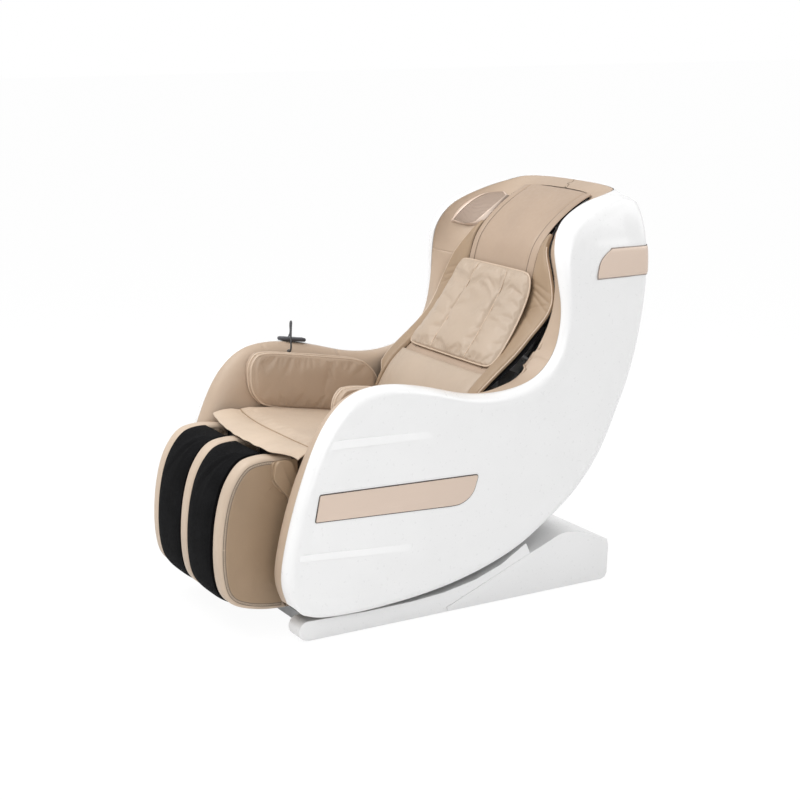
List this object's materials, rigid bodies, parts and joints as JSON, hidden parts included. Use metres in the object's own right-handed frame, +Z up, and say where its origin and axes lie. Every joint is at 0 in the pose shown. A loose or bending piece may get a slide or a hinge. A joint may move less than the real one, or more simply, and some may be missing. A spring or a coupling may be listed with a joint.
{
  "type": "massage chair",
  "caption": "Reclining massage chair with a curved tub shell on a low base, hinged leg rest, padded arms, hooded back, pillow and corded handset.",
  "frame": {"origin": "on the floor, below the middle of the overall box", "axes": "+X to the sitter's left, -Y towards the leg rest, +Z up"},
  "size_m": [0.717, 1.2384, 1.0796],
  "materials": {
    "white_shell": "glossy moulded shell",
    "rose_trim": "satin rose-beige trim",
    "beige_leather": "soft synthetic leather",
    "black_fabric": "stretch knit",
    "steel_frame": "powder-coated tube and sheet",
    "bright_steel": "ground rod",
    "black_plastic": "moulded",
    "grey_plastic": "moulded housing",
    "rubber": "moulded rubber",
    "cord_jacket": "soft jacket",
    "seat_board": "plywood",
    "switch_red": "rocker key"
  },
  "bodies": {
    "base": {"base_frame": "steel_frame", "base_rail_covers": "white_shell", "base_rear_cover": "white_shell", "base_floor_pan": "steel_frame", "foot_pads": "rubber", "control_box": "grey_plastic", "air_pump": "grey_plastic", "power_inlet": "black_plastic"},
    "power_switch": {"power_switch": "switch_red"},
    "wheel_left": {"transport_wheel_left": "rubber"},
    "wheel_right": {"transport_wheel_right": "rubber"},
    "front_track_roller": {"track_roller_front": "rubber"},
    "rear_track_roller": {"track_roller_rear": "rubber"},
    "recline_motor": {"recline_motor": "black_plastic"},
    "recline_rod": {"recline_rod": "bright_steel"},
    "shell": {"shell_frame": "steel_frame", "side_shell_left": "white_shell", "side_shell_right": "white_shell", "back_shell": "white_shell", "belly_pan": "white_shell", "side_trims": "rose_trim", "hood_band": "rose_trim", "arm_lining_left": "beige_leather", "arm_lining_right": "beige_leather", "hood_lining": "beige_leather", "back_mesh": "black_fabric", "seat_pan": "seat_board", "seat_pad": "beige_leather", "seat_apron": "beige_leather", "lumbar_pad": "beige_leather", "back_curtain": "beige_leather", "side_wings": "beige_leather", "arm_pad_left": "beige_leather", "arm_pad_right": "beige_leather", "speaker_pods": "beige_leather", "speaker_grilles": "rose_trim", "guide_rails": "steel_frame", "cord_grommet": "rubber", "handset_cord": "cord_jacket", "handset": "black_plastic", "legrest_motor": "black_plastic"},
    "power_button": {"power_button": "grey_plastic"},
    "pause_button": {"pause_button": "grey_plastic"},
    "level_rocker": {"level_rocker": "grey_plastic"},
    "carriage": {"carriage_frame": "steel_frame"},
    "drive_axle": {"drive_axle": "bright_steel"},
    "knead_left": {"knead_arm_left": "black_plastic"},
    "knead_right": {"knead_arm_right": "black_plastic"},
    "roller_upper_left": {"roller_upper_left": "rubber"},
    "roller_lower_left": {"roller_lower_left": "rubber"},
    "roller_upper_right": {"roller_upper_right": "rubber"},
    "roller_lower_right": {"roller_lower_right": "rubber"},
    "pillow": {"pillow": "beige_leather"},
    "legrest": {"legrest_shell": "black_plastic", "calf_wall_left": "beige_leather", "calf_wall_center": "beige_leather", "calf_wall_right": "beige_leather", "calf_pad_left": "black_fabric", "calf_pad_right": "black_fabric"},
    "legrest_rod": {"legrest_rod": "bright_steel"}
  },
  "joints": [
    {"name": "recline", "type": "hinge", "parent": "base", "child": "shell", "pos_m": [0, 0, 0.7], "axis": [-1, 0, 0], "range_deg": [0, 25]},
    {"name": "recline_motor_swing", "type": "hinge", "parent": "base", "child": "recline_motor", "pos_m": [0, 0.23, 0.07], "axis": [-1, 0, 0], "range_deg": [-0.5, 7]},
    {"name": "recline_stroke", "type": "slide", "parent": "recline_motor", "child": "recline_rod", "axis": [0, -0.9785, 0.206], "range_m": [0, 0.242]},
    {"name": "front_track_roller_spin", "type": "hinge", "parent": "base", "child": "front_track_roller", "pos_m": [0, -0.1399, 0.13888], "axis": [1, 0, 0], "range_deg": [-800, 800]},
    {"name": "rear_track_roller_spin", "type": "hinge", "parent": "base", "child": "rear_track_roller", "pos_m": [0, 0.1399, 0.13888], "axis": [1, 0, 0], "range_deg": [-800, 800]},
    {"name": "wheel_left_spin", "type": "hinge", "parent": "base", "child": "wheel_left", "pos_m": [0.248, 0.474, 0.024], "axis": [1, 0, 0], "continuous": true},
    {"name": "wheel_right_spin", "type": "hinge", "parent": "base", "child": "wheel_right", "pos_m": [-0.248, 0.474, 0.024], "axis": [1, 0, 0], "continuous": true},
    {"name": "power_switch_rock", "type": "hinge", "parent": "base", "child": "power_switch", "pos_m": [0.168, 0.514, 0.062], "axis": [1, 0, 0], "range_deg": [0, 12]},
    {"name": "legrest_lift", "type": "hinge", "parent": "shell", "child": "legrest", "pos_m": [0, -0.44, 0.425], "axis": [-1, 0, 0], "range_deg": [0, 80], "deforming": ["seat_apron"]},
    {"name": "legrest_stroke", "type": "slide", "parent": "shell", "child": "legrest_rod", "axis": [0, -1, 0], "range_m": [0, 0.068]},
    {"name": "carriage_climb", "type": "slide", "parent": "shell", "child": "carriage", "axis": [0, 0.5548, 0.832], "range_m": [0, 0.28]},
    {"name": "drive_axle_spin", "type": "hinge", "parent": "carriage", "child": "drive_axle", "pos_m": [0, 0.3189, 0.51948], "axis": [1, 0, 0], "range_deg": [-1400, 1400]},
    {"name": "knead_left_rock", "type": "hinge", "parent": "carriage", "child": "knead_left", "pos_m": [0.062, 0.2981, 0.53335], "axis": [1, 0, 0], "range_deg": [-8, 8]},
    {"name": "knead_right_rock", "type": "hinge", "parent": "carriage", "child": "knead_right", "pos_m": [-0.062, 0.2981, 0.53335], "axis": [1, 0, 0], "range_deg": [-8, 8]},
    {"name": "roller_upper_left_spin", "type": "hinge", "parent": "knead_left", "child": "roller_upper_left", "pos_m": [0.07, 0.29201, 0.5927], "axis": [1, 0, 0], "continuous": true},
    {"name": "roller_lower_left_spin", "type": "hinge", "parent": "knead_left", "child": "roller_lower_left", "pos_m": [0.07, 0.24096, 0.51616], "axis": [1, 0, 0], "continuous": true},
    {"name": "roller_upper_right_spin", "type": "hinge", "parent": "knead_right", "child": "roller_upper_right", "pos_m": [-0.07, 0.29201, 0.5927], "axis": [1, 0, 0], "continuous": true},
    {"name": "roller_lower_right_spin", "type": "hinge", "parent": "knead_right", "child": "roller_lower_right", "pos_m": [-0.07, 0.24096, 0.51616], "axis": [1, 0, 0], "continuous": true},
    {"name": "pillow_flip", "type": "hinge", "parent": "shell", "child": "pillow", "pos_m": [0, 0.352, 0.858], "axis": [-1, 0, 0], "range_deg": [0, 100]},
    {"name": "power_button_press", "type": "slide", "parent": "shell", "child": "power_button", "axis": [0.1032, -0.1564, -0.9823], "range_m": [0, 0.001], "stiffness_N_per_m": 700},
    {"name": "pause_button_press", "type": "slide", "parent": "shell", "child": "pause_button", "axis": [0.1032, -0.1564, -0.9823], "range_m": [0, 0.001], "stiffness_N_per_m": 700},
    {"name": "level_rocker_tilt", "type": "hinge", "parent": "shell", "child": "level_rocker", "pos_m": [-0.32204, -0.12647, 0.63865], "axis": [0.9945, 0, 0.1045], "range_deg": [-3, 3], "stiffness_Nm_per_rad": 0.25}
  ],
  "couplings": [
    {"joint": "recline_motor_swing", "follows": "recline", "ratio": 0.2478},
    {"joint": "recline_stroke", "follows": "recline", "m_per_rad": 0.5521},
    {"joint": "front_track_roller_spin", "follows": "recline", "ratio": 31.111},
    {"joint": "rear_track_roller_spin", "follows": "recline", "ratio": 31.111},
    {"joint": "legrest_stroke", "follows": "legrest_lift", "m_per_rad": 0.047},
    {"joint": "drive_axle_spin", "follows": "carriage_climb", "rad_per_m": -83.333},
    {"joint": "knead_right_rock", "follows": "knead_left_rock", "ratio": -1}
  ]
}
